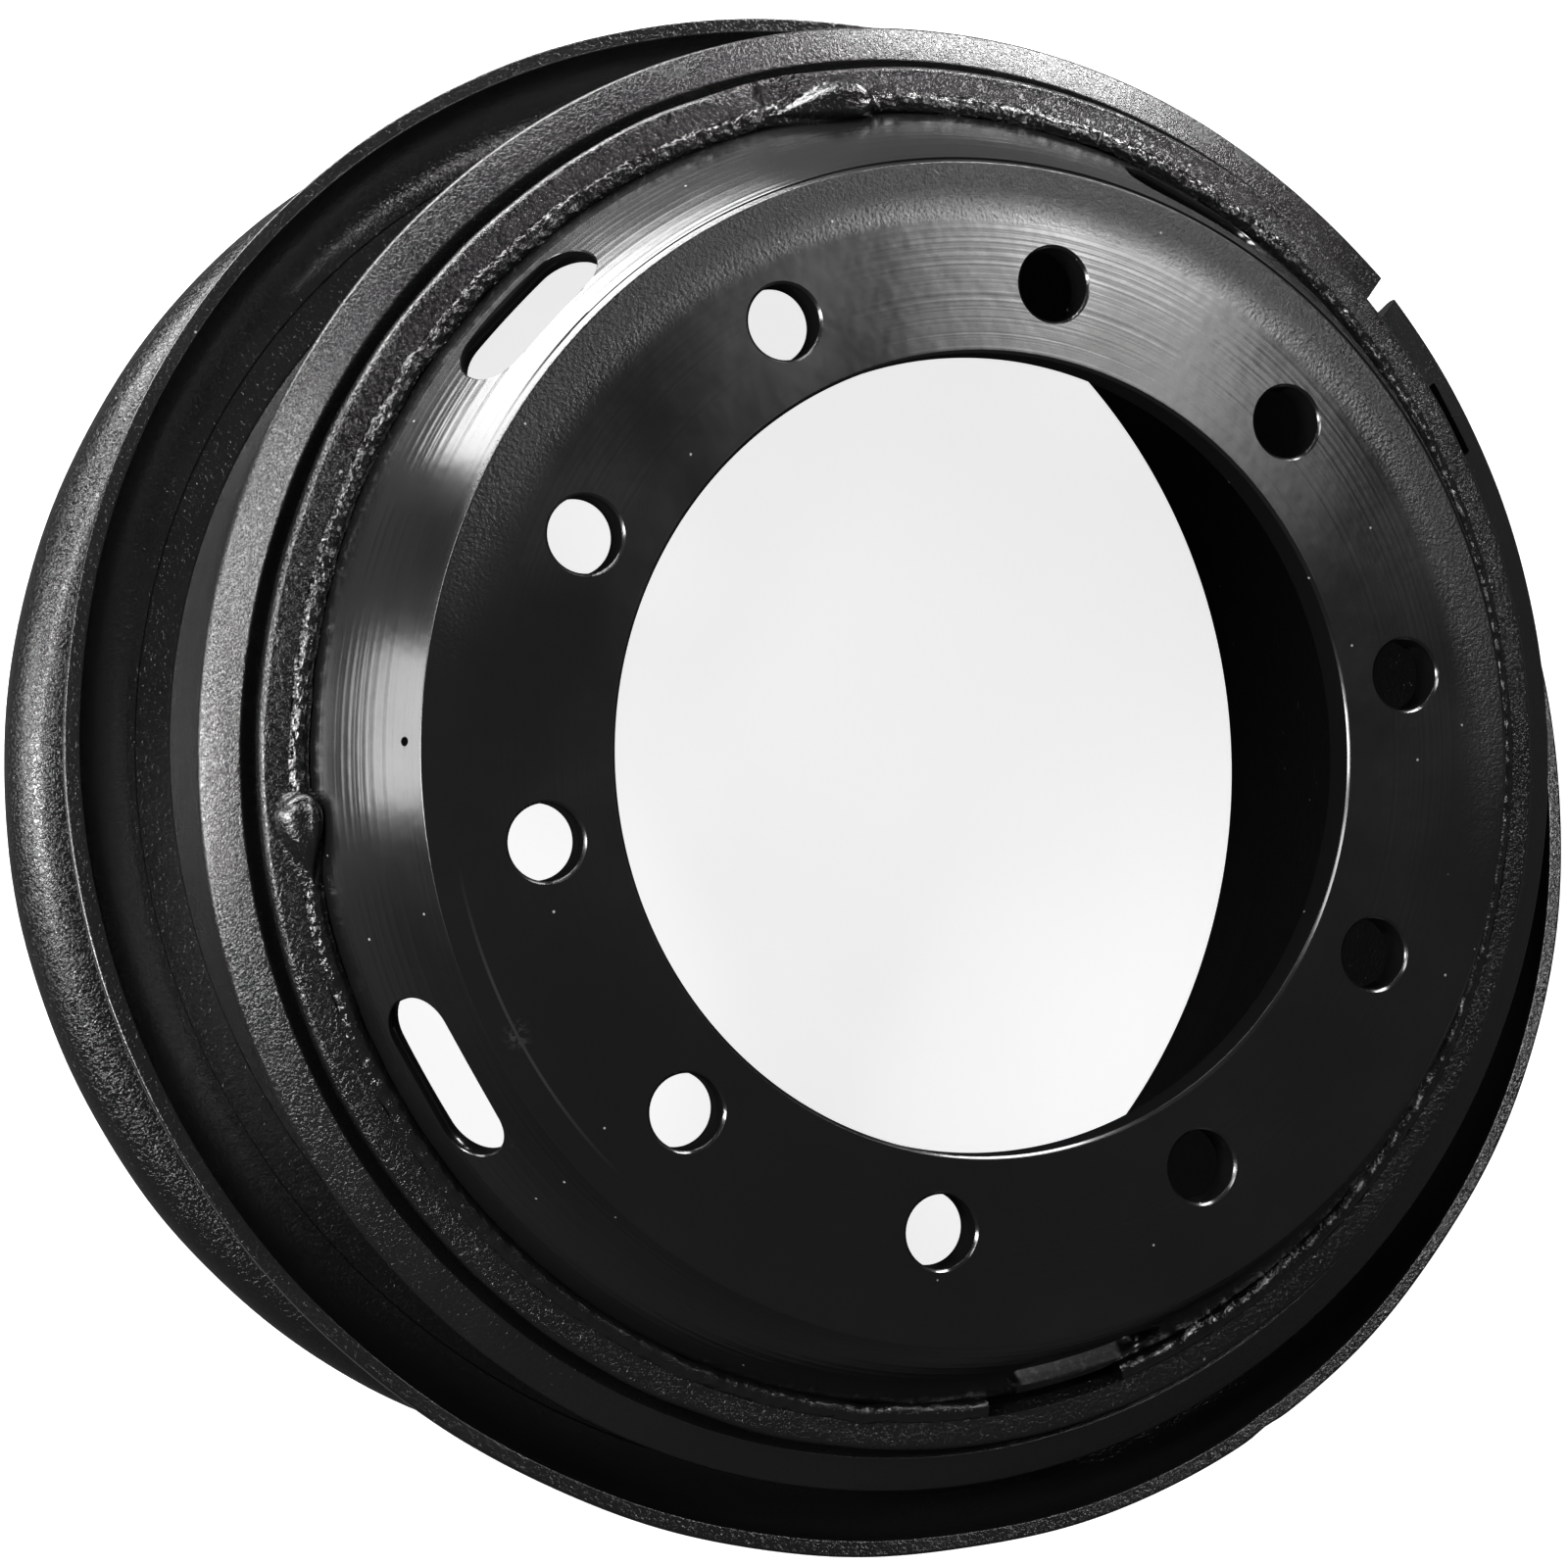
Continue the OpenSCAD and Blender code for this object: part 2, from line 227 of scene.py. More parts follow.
rim_section = ease_edges(
    [(FIT_R, RIM_END_Z - 3.9, 0.0), (FIT_R + 3.0, RIM_END_Z, 0.0)]
    + [(246.0, RIM_END_Z, 0.0)]
    + arc(LIP_R - 2.5, RIM_END_Z - 2.5, 2.5, 90, 0, 8)
    + [(LIP_R, -39.5, 1.0), (GUTTER_R, GUTTER_Z, 1.5), (GUTTER_R, -60.0, 2.0), (BASE_R, -68.0, 2.0)]
    + [(BASE_R, -120.0, 0.0), (BASE_R, -180.0, 0.0), (BASE_R, SEAT_Z, 4.0)]
    + arc(SEAT_R + 7.0, FLANGE_Z + 7.0, 7.0, 180, 270, 10)
    + arc(FLANGE_R - 20.0, FLANGE_Z - 20.0, 20.0, 90, 0, 28)
    + arc(FLANGE_R - 3.1, FLANGE_Z - 20.35, 3.1, 0, -180, 10)
    + arc(FLANGE_R - 20.0, FLANGE_Z - 20.0, 13.8, 0, 90, 22)
    + arc(262.7, -268.0, 14.0, 270, 180, 14)
    + [(BORE_WALL_R, SEAT_Z, 4.0), (BORE_WALL_R, -180.0, 0.0)]
    + [(BORE_WALL_R, -92.0, 3.0), (FIT_R, -72.0, 2.0)]
)
rim = roll_ring("rim_base_rolled", rim_section, 540, shape=rim_unevenness)
valve_slot = punch("valve_slot_punch", oblong(16.0, 50.0, 7.9), [(-14.0, 0.0), (14.0, 0.0)])
valve_slot.matrix_world = (
    Matrix.Rotation(math.radians(VALVE_AT), 4, "Z")
    @ Matrix.Translation((0.2505, 0, -0.11754))
    @ Matrix.Rotation(math.radians(90), 4, "Y")
)
cutters = [valve_slot]
# Two flats ground by hand beside the weld's first lump: azimuth, half length, tilt and skew of each.
for azimuth, half_length, tilt, skew in ((100.9, 10.5, 20.0, 6.0), (96.2, 7.0, 21.0, -9.0)):
    block = [(-9, -half_length), (12, -half_length), (12, half_length), (-9, half_length)]
    wheel = punch("grinding_wheel", block, [(0, 0), (8, 0)])
    wheel.matrix_world = (
        Matrix.Rotation(math.radians(azimuth), 4, "Z")
        @ Matrix.Translation((0.2455, 0, (RIM_END_Z - 0.3) * MM))
        @ Matrix.Rotation(math.radians(tilt), 4, "Y")
        @ Matrix.Rotation(math.radians(skew), 4, "X")
    )
    cutters.append(wheel)
cut_away(rim, cutters)
smooth_by_angle(rim)
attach(rim, "root")
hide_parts("rim_base")


def hex_colour(code):
    """An sRGB hex value as the linear colour that shaders take."""
    parts = [int(code[i : i + 2], 16) / 255 for i in (1, 3, 5)]
    return tuple(p / 12.92 if p <= 0.04045 else ((p + 0.055) / 1.055) ** 2.4 for p in parts) + (1.0,)


def add(tree, kind, inputs=None, **settings):
    """Adds a shader node with its settings; each input is a plain value or another node's output."""
    node = tree.nodes.new("ShaderNode" + kind)
    for key, value in settings.items():
        setattr(node, key, value)
    for key, value in (inputs or {}).items():
        if isinstance(value, bpy.types.NodeSocket):
            tree.links.new(value, node.inputs[key])
        else:
            node.inputs[key].default_value = value
    return node


def new_finish(name):
    """An empty node material with its output; the caller adds the rest."""
    finish = bpy.data.materials.new(name)
    finish.use_nodes = True
    finish.node_tree.nodes.clear()
    return finish, finish.node_tree, add(finish.node_tree, "OutputMaterial")


def per_mm(size):
    """Noise scale that gives features of this size in millimetres."""
    return 1.0 / (size * MM)


def dust_specks(tree, place, spacing_mm, core, edge, strength, skip):
    """A few pale specks of dust that stuck while the paint was wet, as an amount from 0 to strength."""
    dots = add(tree, "TexVoronoi", {"Vector": place, "Scale": per_mm(spacing_mm)})
    dust = add(
        tree,
        "MapRange",
        {
            "Value": dots.outputs["Distance"],
            "From Min": core,
            "From Max": edge,
            "To Min": strength,
            "To Max": 0.0,
        },
    )
    pick = add(tree, "SeparateColor", {"Color": dots.outputs["Color"]})
    rare = add(
        tree,
        "Math",
        {0: pick.outputs["Red"], 1: skip},
        operation="GREATER_THAN",
    ).outputs["Value"]
    return add(
        tree,
        "Math",
        {0: dust.outputs["Result"], 1: rare},
        operation="MULTIPLY",
    ).outputs["Value"]


def enamel_coat(tree, end, colour, pale, rough, normal):
    """The enamel itself: its colour, mixed with grey where it is dusty or worn, under a clear gloss."""
    paint = add(
        tree,
        "Mix",
        {"Factor": pale, "A": hex_colour(colour), "B": hex_colour("#8c8c8a")},
        data_type="RGBA",
    ).outputs["Result"]
    shader = add(
        tree,
        "BsdfPrincipled",
        {"Base Color": paint, "Roughness": rough, "Normal": normal, "IOR": 1.5},
    )
    tree.links.new(shader.outputs["BSDF"], end.inputs["Surface"])


def steel_enamel(name, colour, rough, grain_mm, grain_depth, peel_mm, peel_depth, specks=0.5):
    """Black alkyd enamel sprayed on hot-rolled steel: the mill's grain is softened by the paint,
    and the paint's own orange peel lies over it."""
    finish, tree, end = new_finish(name)
    place = add(tree, "TexCoord").outputs["Object"]
    strokes = add(
        tree,
        "TexNoise",
        {
            "Vector": place,
            "Scale": per_mm(grain_mm),
            "Detail": 2.0,
            "Roughness": 0.6,
            "Distortion": 1.2,
        },
    )
    grain = add(tree, "MapRange", {"Value": strokes.outputs["Fac"], "From Min": 0.38, "From Max": 0.62})
    peel = add(tree, "TexNoise", {"Vector": place, "Scale": per_mm(peel_mm), "Detail": 1.0})
    haze = add(tree, "TexNoise", {"Vector": place, "Scale": per_mm(45.0), "Detail": 3.0})
    tone = add(
        tree,
        "MapRange",
        {
            "Value": haze.outputs["Fac"],
            "From Min": 0.3,
            "From Max": 0.7,
            "To Min": rough - 0.05,
            "To Max": rough + 0.06,
        },
    )
    low = add(
        tree,
        "Bump",
        {"Height": peel.outputs["Fac"], "Strength": 1.0, "Distance": peel_depth * MM},
    )
    high = add(
        tree,
        "Bump",
        {
            "Height": grain.outputs["Result"],
            "Strength": 1.0,
            "Distance": grain_depth * MM,
            "Normal": low.outputs["Normal"],
        },
    )
    pale = dust_specks(tree, place, 9.0, 0.045, 0.07, specks, 0.93)
    enamel_coat(tree, end, colour, pale, tone.outputs["Result"], high.outputs["Normal"])
    return finish


rim.data.materials.clear()
rim_enamel = steel_enamel("black_enamel_on_hot_rolled_rim", "#0b0b0b", 0.17, 1.6, 0.14, 4.0, 0.14)
rim.data.materials.append(rim_enamel)


# Wheel disc
# One steel plate pressed into a dish: its face and side wall are turned in a lathe, the bore and the ten
# bolt holes are cut, and the five hand holes are punched through the side wall.
FACE_Z = 14.0
FACE_R = 207.5
WALL_FOOT_R = 234.05
WALL_ANGLE = math.atan2(WALL_FOOT_R - FACE_R, FACE_Z - RIM_END_Z)
WALL_BULGE = 1.2
BORE_R = 140.5
BOLT_TURN = 110.2
BOLT_PCD = 335.0
BOLT_HOLE_R = 13.0
HAND_TURN = BOLT_TURN + 18.0 + 1.2
HAND_S = 28.5
HAND_LENGTH = 60.0
HAND_HEIGHT = 27.0
HAND_CORNER = 12.5
HAND_MID_R = 222.0
WALL_T = 6.5
SKIRT_T = 7.0
SKIRT_TOP_Z = -42.0
SKIRT_FOOT_Z = -70.0
SKIRT_FLAT_HALF = 27.0
FLAT_FACE_R = 150.0


def wall_points(top, foot, count, ridge=0.0):
    """The bowed side wall from top to foot, with ridges where the lathe's tool skipped."""
    dice = np.random.default_rng(11)
    out = []
    for i in range(1, count):
        s = i / count
        step = WALL_BULGE * 4 * s * (1 - s) + ridge * dice.uniform(0, 1) ** 4
        r = top[0] + (foot[0] - top[0]) * s + step * math.cos(WALL_ANGLE)
        z = top[1] + (foot[1] - top[1]) * s + step * math.sin(WALL_ANGLE)
        out.append((r, z, 0.0))
    return out


def disc_unevenness(a, r, z):
    """The outer band of the face keeps the rounding of the rolled plate on one side, where the
    lathe missed it."""
    side = np.clip(np.cos(np.radians(a - 50.0)) + 0.25, 0, 1)
    band = np.clip((r - 186.0) / 21.5, 0, 1) * (z > FACE_Z - 3)
    return a, r, z - 0.9 * side * band**2


in_r = FACE_R - WALL_T / math.cos(WALL_ANGLE) + FACE_Z * math.tan(WALL_ANGLE)
FILLET = 10.0
fillet_r = in_r - FILLET * math.tan((math.pi / 2 - WALL_ANGLE) / 2)
fillet = arc(fillet_r, -FILLET, FILLET, math.degrees(WALL_ANGLE), 90, 8)
skirt_r = FIT_R - SKIRT_T
in_foot = (skirt_r, (in_r - skirt_r) / math.tan(WALL_ANGLE), 12.0)
disc_section = ease_edges(
    [(BORE_R, 1.0, 0.4), (BORE_R, FACE_Z - 1.0, 0.5), (BORE_R + 1.0, FACE_Z, 0.5)]
    + [(FLAT_FACE_R, FACE_Z, 0.0)]
    + [(r, FACE_Z, 0.0) for r in (184.0, 187.0, 190.0, 193.0, 196.0, 199.0, 202.0, 204.5)]
    + [(FACE_R, FACE_Z, 0.9)]
    + wall_points((FACE_R, FACE_Z), (WALL_FOOT_R, RIM_END_Z), 72, 0.07)
    + [(WALL_FOOT_R, RIM_END_Z, 0.0), (FIT_R, SKIRT_TOP_Z, 1.0), (FIT_R, SKIRT_FOOT_Z, 1.5)]
    + [(skirt_r, SKIRT_FOOT_Z, 1.5), in_foot]
    + wall_points(fillet[0], in_foot, 8)[::-1]
    + fillet
    + [(FLAT_FACE_R, 0.0, 0.0), (BORE_R + 1.0, 0.0, 0.4)]
)
disc = roll_ring("wheel_disc_pressed", disc_section, 540, shape=disc_unevenness)
cutters = []
round_turns = [math.radians(6 * k) for k in range(60)]
circle = [(BOLT_HOLE_R * math.cos(turn), BOLT_HOLE_R * math.sin(turn)) for turn in round_turns]
# Both rims of a bolt hole are chamfered by a millimetre.
bolt_depths = [(-3, 3.0), (-0.9, 1.0), (1.0, 0.0), (12.9, 0.0), (13.3, 0.2), (13.9, 1.0), (17, 4.0)]
for i in range(10):
    drill = punch("bolt_hole_drill", circle, bolt_depths)
    drill.matrix_world = (
        Matrix.Rotation(math.radians(BOLT_TURN + 36 * i), 4, "Z")
        @ Matrix.Translation((BOLT_PCD / 2 * MM, 0, 0))
    )
    cutters.append(drill)
# The press draws a hand hole's outer edge in and tears the inner one. Its punch is bent to the wall.
hand_outline = oblong(HAND_LENGTH, HAND_HEIGHT, HAND_CORNER)
hand_depths = [(-16.0, 3.0), (-5.4, 1.0), (-2.6, 0.1), (-1.6, 0.0)]
hand_depths += [(0.0, 0.0), (0.7, 0.25), (1.2, 0.8), (6.0, 5.0)]
for k in range(5):
    tool = punch("hand_hole_punch", hand_outline, hand_depths, math.cos(WALL_ANGLE) / 2 / HAND_MID_R)
    tool.matrix_world = (
        Matrix.Rotation(math.radians(HAND_TURN + 72 * k), 4, "Z")
        @ Matrix.Translation((FACE_R * MM, 0, FACE_Z * MM))
        @ Matrix.Rotation(math.pi / 2 - WALL_ANGLE, 4, "Y")
        @ Matrix.Translation((HAND_S * MM, 0, 0))
    )
    cutters.append(tool)
# The skirt is flat for a stretch beside the valve.
flat_outline = [
    (WALL_FOOT_R, -SKIRT_FLAT_HALF),
    (250.0, -SKIRT_FLAT_HALF),
    (250.0, SKIRT_FLAT_HALF),
    (WALL_FOOT_R, SKIRT_FLAT_HALF),
]
flat = punch("valve_flat", flat_outline, [(-71.0, 0.0), (-28.0, 0.0)])
flat.matrix_world = Matrix.Rotation(math.radians(VALVE_AT), 4, "Z")
cutters.append(flat)
# One small pit in the paint and the steel, on the side wall near the face.
pit = punch("pit_punch", circle, [(-2.0, -12.0), (0.4, -11.5), (2.0, -10.8)])
pit.matrix_world = (
    Matrix.Rotation(math.radians(171.0), 4, "Z")
    @ Matrix.Translation((FACE_R * MM, 0, FACE_Z * MM))
    @ Matrix.Rotation(math.pi / 2 - WALL_ANGLE, 4, "Y")
    @ Matrix.Translation((0.007, 0, 0))
)
cutters.append(pit)
cut_away(disc, cutters)
smooth_by_angle(disc, 28.0)
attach(disc, "root")
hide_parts("wheel_disc")


def ring_noise(tree, radius, height, size_mm, detail, roughness=0.5):
    """Noise that only changes along the section, so that it draws rings round the wheel."""
    along = add(tree, "Math", {0: radius, 1: height}, operation="SUBTRACT").outputs["Value"]
    line = add(tree, "CombineXYZ", {"X": along, "Y": 0.0, "Z": 0.0}).outputs["Vector"]
    return add(
        tree,
        "TexNoise",
        {"Vector": line, "Scale": per_mm(size_mm), "Detail": detail, "Roughness": roughness},
    ).outputs["Fac"]


def worn_places(tree, place, radius):
    """How pale the paint is where it was rubbed, and how dull it is on a sheared edge: one ring-shaped
    scuff on the face, and the cut edge of the hand hole beside the valve."""
    away = add(
        tree,
        "VectorMath",
        {0: place, 1: (-0.1865, -0.0680, 0.014)},
        operation="DISTANCE",
    ).outputs["Value"]
    ring_at = add(tree, "Math", {0: radius, 1: 0.1985, 2: 0.0005}, operation="COMPARE").outputs["Value"]
    near = add(
        tree,
        "MapRange",
        {"Value": away, "From Min": 0.02, "From Max": 0.06, "To Min": 0.04, "To Max": 0.0},
    ).outputs["Result"]
    ring_worn = add(tree, "Math", {0: ring_at, 1: near}, operation="MULTIPLY").outputs["Value"]
    rubbed = add(
        tree,
        "MapRange",
        {"Value": away, "From Min": 0.0, "From Max": 0.006, "To Min": 0.12, "To Max": 0.0},
    ).outputs["Result"]
    scratches = add(
        tree,
        "TexNoise",
        {"Vector": place, "Scale": per_mm(2.5), "Detail": 4.0, "Roughness": 0.7},
    ).outputs["Fac"]
    scratched = add(
        tree,
        "MapRange",
        {"Value": scratches, "From Min": 0.5, "From Max": 0.7},
    ).outputs["Result"]
    smudge = add(tree, "Math", {0: rubbed, 1: scratched}, operation="MULTIPLY").outputs["Value"]
    scuff = add(tree, "Math", {0: ring_worn, 1: smudge}, operation="MAXIMUM").outputs["Value"]
    from_edge = add(
        tree,
        "VectorMath",
        {0: place, 1: (0.0125, -0.2250, -0.0252)},
        operation="DISTANCE",
    ).outputs["Value"]
    sheared = add(
        tree,
        "MapRange",
        {"Value": from_edge, "From Min": 0.019, "From Max": 0.022, "To Min": 1.0, "To Max": 0.0},
    ).outputs["Result"]
    speckled = add(tree, "Math", {0: sheared, 1: scratched}, operation="MULTIPLY").outputs["Value"]
    return scuff, speckled, sheared


def turned_enamel(name, colour, rough):
    """Thin black enamel on turned steel: the lathe's rings show through it, finer on the face than on
    the side wall, and the hot-rolled skin that the lathe missed at the face's outer edge is rougher."""
    finish, tree, end = new_finish(name)
    place = add(tree, "TexCoord").outputs["Object"]
    axis = add(tree, "SeparateXYZ", {"Vector": place})
    flatten = add(tree, "CombineXYZ", {"X": axis.outputs["X"], "Y": axis.outputs["Y"], "Z": 0.0})
    radius = add(
        tree,
        "VectorMath",
        {0: flatten.outputs["Vector"]},
        operation="LENGTH",
    ).outputs["Value"]
    height = axis.outputs["Z"]
    on_wall = add(
        tree,
        "MapRange",
        {"Value": radius, "From Min": 0.2065, "From Max": 0.209},
    ).outputs["Result"]
    on_face = add(
        tree,
        "MapRange",
        {"Value": radius, "From Min": 0.184, "From Max": 0.190, "To Min": 1.0, "To Max": 0.0},
    ).outputs["Result"]
    outer = add(
        tree,
        "MapRange",
        {"Value": radius, "From Min": 0.186, "From Max": 0.2},
    ).outputs["Result"]
    off_wall = add(tree, "Math", {0: 1.0, 1: on_wall}, operation="SUBTRACT").outputs["Value"]
    edge = add(tree, "Math", {0: off_wall, 1: outer}, operation="MULTIPLY").outputs["Value"]
    toward = add(
        tree,
        "VectorMath",
        {0: place, 1: (0.342, 0.940, 0.0)},
        operation="DOT_PRODUCT",
    ).outputs["Value"]
    missed = add(
        tree,
        "MapRange",
        {"Value": toward, "From Min": -0.02, "From Max": 0.09, "To Min": 0.12},
    ).outputs["Result"]
    band = add(tree, "Math", {0: edge, 1: missed}, operation="MULTIPLY").outputs["Value"]
    peel = add(tree, "TexNoise", {"Vector": place, "Scale": per_mm(6.0), "Detail": 1.0}).outputs["Fac"]
    low = add(tree, "Bump", {"Height": peel, "Strength": 1.0, "Distance": 0.04 * MM}).outputs["Normal"]
    fine = ring_noise(tree, radius, height, 1.6, 1.0)
    turned = add(
        tree,
        "Bump",
        {"Height": fine, "Strength": on_face, "Distance": 0.06 * MM, "Normal": low},
    ).outputs["Normal"]
    coarse = ring_noise(tree, radius, height, 2.6, 2.0, 0.7)
    rings = add(
        tree,
        "Bump",
        {"Height": coarse, "Strength": on_wall, "Distance": 0.06 * MM, "Normal": turned},
    ).outputs["Normal"]
    grain = add(
        tree,
        "TexNoise",
        {"Vector": place, "Scale": per_mm(1.3), "Detail": 3.0, "Roughness": 0.6},
    ).outputs["Fac"]
    skin = add(
        tree,
        "Bump",
        {"Height": grain, "Strength": band, "Distance": 0.42 * MM, "Normal": rings},
    ).outputs["Normal"]
    haze = add(tree, "TexNoise", {"Vector": place, "Scale": per_mm(60.0), "Detail": 4.0}).outputs["Fac"]
    tone = add(
        tree,
        "MapRange",
        {
            "Value": haze,
            "From Min": 0.3,
            "From Max": 0.7,
            "To Min": rough - 0.05,
            "To Max": rough + 0.07,
        },
    ).outputs["Result"]
    scuff, speckled, sheared = worn_places(tree, place, radius)
    coarser = add(tree, "Math", {0: band, 1: 0.14, 2: tone}, operation="MULTIPLY_ADD").outputs["Value"]
    dull = add(
        tree,
        "Math",
        {0: sheared, 1: 0.45, 2: coarser},
        operation="MULTIPLY_ADD",
    ).outputs["Value"]
    specks = dust_specks(tree, place, 7.0, 0.05, 0.08, 0.75, 0.91)
    worn = add(tree, "Math", {0: specks, 1: scuff}, operation="MAXIMUM").outputs["Value"]
    pale = add(tree, "Math", {0: speckled, 1: 0.18, 2: worn}, operation="MULTIPLY_ADD").outputs["Value"]
    enamel_coat(tree, end, colour, pale, dull, skin)
    return finish


disc.data.materials.clear()
disc.data.materials.append(turned_enamel("black_enamel_on_turned_disc", "#0a0a0a", 0.17))


# Weld
# One pass of arc weld between the disc and the end of the rim base, laid while the wheel turned.
# It was started and stopped in two heavy lumps, and left open for the valve.
WELD_END_R = FIT_R + 3.0
WELD_GAP = 2 * math.degrees(math.asin(SKIRT_FLAT_HALF / WALL_FOOT_R))
CROWN = 2.0
LUMPS = ((88.7, 10.4, 6.5), (175.0, 7.8, 5.5))
HEAD = 1.9
chord = WELD_END_R - WALL_FOOT_R
crown_r = (chord * chord / 4 + CROWN * CROWN) / (2 * CROWN)
crown_half = math.degrees(math.asin(chord / 2 / crown_r))
crown_z = RIM_END_Z - crown_r + CROWN
crown_mid = (WALL_FOOT_R + WELD_END_R) / 2
weld_section = [p[:2] for p in arc(crown_mid, crown_z, crown_r, 90 + crown_half, 90 - crown_half, 14)]
weld_section += [(FIT_R, RIM_END_Z - 3.9), (FIT_R, SKIRT_TOP_Z)]


def weld_ripples(a, r, z):
    """Each ripple is a crescent where the pool froze; the bead's skin is crystalline between them.
    A lump has a round head where the arc stood still and tapers off along the bead: LUMPS gives each
    one's azimuth, its length in degrees and its height."""
    across = (r - crown_mid) / (chord / 2)
    on_top = z >= RIM_END_Z - 0.01
    top = np.clip(1 - across**2, 0, 1) * on_top
    strong = 0.45 + 0.55 * np.clip(np.cos(np.radians(a - 100.0)) + 0.5, 0, 1)
    phase = a / 1.6 + 0.9 * across**2 + 0.5 * waves(a, 21, 20, 160, 0.2)
    crest = 1 - np.abs(2 * (phase % 1.0) - 1) ** 1.6
    dice = np.random.default_rng(26)
    rough = dice.normal(0, 1, a.shape)
    rough = (np.roll(rough, 1, axis=0) + 2 * rough + np.roll(rough, -1, axis=0)) / 4
    swell = 0.35 * waves(a, 22, 30, 220, 0.1) + 0.45 * waves(a, 23, 6, 50, 0.3)
    ripple = top * (0.28 * strong * (crest - 0.5) + swell)
    grit = on_top * (0.3 + 0.7 * across**2) * 0.5 * strong * rough
    wander = on_top * (0.5 * waves(a, 24, 10, 90, 0.3) + 0.15 * strong * rough)
    lump = np.zeros_like(a)
    dome = np.zeros_like(a)
    for start, length, high in LUMPS:
        on = (a - start) % 360
        head = np.sqrt(np.clip(1 - ((HEAD - on) / HEAD) ** 2, 0, 1)) * (on < HEAD)
        tail = np.cos(np.clip((on - HEAD) / (length - HEAD), 0, 1) * math.pi / 2) ** 1.2 * (on >= HEAD)
        here = (head + tail) * (on > 0) * (on < length)
        lump += here
        dome += high * np.sqrt(np.clip(here**2 - across**2, 0, 1)) * on_top
    outward = np.where(across > 0, 6.2, 2.6) * across * lump * on_top
    dome = dome * (1 + 0.10 * waves(a, 25, 20, 90, 0.3))
    up_wall = 4.4 * lump * np.clip(-across, 0, 1) * on_top
    calm = 1 - 0.92 * np.clip(lump * 1.6, 0, 1)
    return a, r + wander * calm + outward, z + (ripple + grit) * calm + dome + up_wall


weld_start = VALVE_AT + WELD_GAP / 2
weld = roll_ring("disc_weld_bead", weld_section, 2200, weld_start, 360 - WELD_GAP, weld_ripples)
smooth_by_angle(weld, 50.0)
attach(weld, "root")
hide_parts("disc_weld")
weld_enamel = steel_enamel("glossy_enamel_on_weld_bead", "#0a0a0a", 0.14, 1.4, 0.06, 4.0, 0.1, 0.3)
weld.data.materials.append(weld_enamel)


# Lock ring
# Split spring-steel ring, rolled in one section: a crest with a bevel, a heel that snaps into the
# gutter and a tapered foot. Its cut ends stand a little proud, and its front edge has a lever's slot.
CREST_R = 269.0
CREST_Z = -47.5
BEVEL_SLOPE = 28.0
BEVEL_IN = 13.2
FOOT_TOP_Z = -60.5
FOOT_END_Z = -88.5
BEVEL_Z = CREST_Z + 11.2 * math.tan(math.radians(BEVEL_SLOPE))
SPLIT_AT = 35.0
SPLIT_ANGLE = math.degrees(10.0 / CREST_R)
PRY_AT = 23.0
TOUCH = 0.3


def foot_r(z):
    """Radius of the lock ring's tapered foot, which carries the tyre's second bead."""
    return SEAT_R - (FOOT_TOP_Z - z) * math.tan(math.radians(5.0))


def sprung_ends(a, r, z):
    """The cut ends spring out of the gutter by a millimetre or so."""
    past = (a - SPLIT_AT) % 360
    near = np.clip(1 - (past - SPLIT_ANGLE / 2) / 13.0, 0, 1) ** 2
    other = np.clip(1 - (360 - past - SPLIT_ANGLE / 2) / 5.0, 0, 1) ** 2
    crest = np.clip((r - 250.0) / 8.0, 0, 1)
    uneven = 0.1 * (1 + waves(a, 31, 4, 30, 0.5))
    return a, r + crest * (1.4 * near + 0.2 * other - uneven), z


lock_section = ease_edges(
    arc(CREST_R - 2.0, -50.5, 2.0, -90, 0, 5)
    + arc(CREST_R - 2.0, CREST_Z - 2.0, 2.0, 0, 90 - BEVEL_SLOPE, 6)
    + [(CREST_R - BEVEL_IN, BEVEL_Z - 1.0, 0.7), (CREST_R - BEVEL_IN - 1.0, BEVEL_Z - 1.6, 0.0)]
    + [(GUTTER_R + 2.3, GUTTER_Z - 2.5, 0.5), (GUTTER_R + TOUCH, GUTTER_Z - 4.5, 0.5)]
    + [(GUTTER_R + TOUCH, -59.5, 1.5), (BASE_R + TOUCH, -67.5, 1.5), (BASE_R + TOUCH, FOOT_END_Z, 0.0)]
    + [(foot_r(FOOT_END_Z), FOOT_END_Z, 0.0), (foot_r(FOOT_TOP_Z), FOOT_TOP_Z, 2.0)]
    + [(CREST_R - 7.0, -52.5, 1.5)]
)
lock_start = SPLIT_AT + SPLIT_ANGLE / 2
lock = roll_ring("lock_ring_rolled", lock_section, 540, lock_start, 360 - SPLIT_ANGLE, sprung_ends)
mill = punch("pry_slot_mill", oblong(31.0, 10.5, 1.2, 4), [(-7.0, 0.0), (10.0, 0.0)])
slot_r = CREST_R - BEVEL_IN - 0.75
mill.matrix_world = (
    Matrix.Rotation(math.radians(PRY_AT), 4, "Z")
    @ Matrix.Translation((slot_r * MM, 0, BEVEL_Z * MM))
)
cut_away(lock, [mill])
smooth_by_angle(lock)
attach(lock, "root")
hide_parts("lock_ring")
lock.data.materials.clear()
lock_enamel = steel_enamel("black_enamel_on_lock_ring", "#0b0b0b", 0.24, 1.2, 0.07, 4.5, 0.12)
lock.data.materials.append(lock_enamel)


# Side ring
# Loose rolled flange, butt-welded into a ring. It hangs on the flat base and leans until its bore
# touches the base on one side and the lock ring's foot on the other.
SIDE_BORE_R = SEAT_R + 4.3
STRIP_W = 12.5
CURL_R = 27.0
LIP_WALL = 6.2
TOE_WALL = 5.0
TOE_STEP = 1.2
SIDE_DROP = 108.7
LEAN_DIR = 98.5
SIDE_WELD_AT = 290.0


